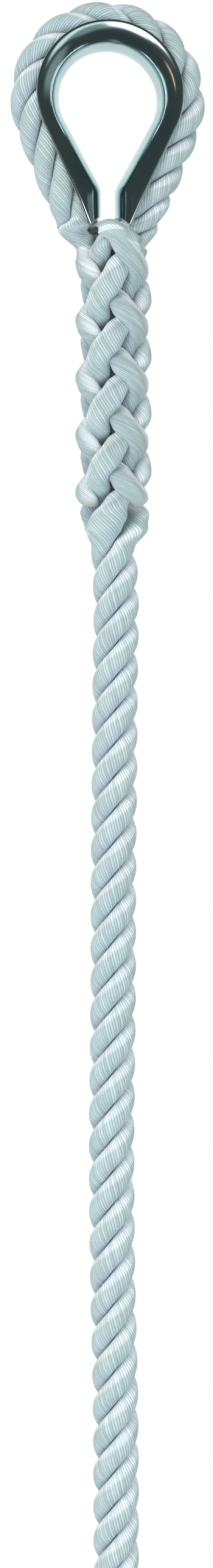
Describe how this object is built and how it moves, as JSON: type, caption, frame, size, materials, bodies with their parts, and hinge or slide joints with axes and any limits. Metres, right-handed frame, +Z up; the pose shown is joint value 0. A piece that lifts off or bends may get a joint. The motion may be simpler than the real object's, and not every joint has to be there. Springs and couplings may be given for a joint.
{
  "type": "thimble eye",
  "caption": "Laid rope carried round a teardrop metal thimble and spliced back into itself, with the standing rope hanging straight below the splice.",
  "frame": {"origin": "middle of the thimble's bearing face at the crown, where a hook, shackle or pin carries the eye", "axes": "+Z up, along the hanging rope towards the crown; +X across the eye, to the right seen from the front; the front faces -Y"},
  "size_m": [0.071, 0.0273, 0.5702],
  "materials": {
    "polished_steel": "polished stainless steel, mirror-like",
    "rope": "white synthetic multifilament yarn, matt with a slight sheen"
  },
  "bodies": {
    "eye": {"thimble": "polished_steel", "eye_strand_a": "rope", "eye_strand_b": "rope", "eye_strand_c": "rope", "standing_strand_a": "rope", "standing_strand_b": "rope", "standing_strand_c": "rope", "tucked_strand_a": "rope", "tucked_strand_b": "rope", "tucked_strand_c": "rope", "standing_rope_root": "rope"},
    "rope_upper": {"standing_rope_upper": "rope"},
    "rope_middle": {"standing_rope_middle": "rope"},
    "rope_lower": {"standing_rope_lower": "rope"}
  },
  "joints": [
    {"name": "rope_bend_upper", "type": "hinge", "parent": "eye", "child": "rope_upper", "pos_m": [0.00257, 0, -0.243], "axis": [0, 1, 0], "range_deg": [-60, 60]},
    {"name": "rope_bend_middle", "type": "hinge", "parent": "rope_upper", "child": "rope_middle", "pos_m": [0.0017, 0, -0.367], "axis": [1, 0, 0], "range_deg": [-60, 60]},
    {"name": "rope_bend_lower", "type": "hinge", "parent": "rope_middle", "child": "rope_lower", "pos_m": [0.00276, 0, -0.491], "axis": [0, 1, 0], "range_deg": [-60, 60]}
  ]
}
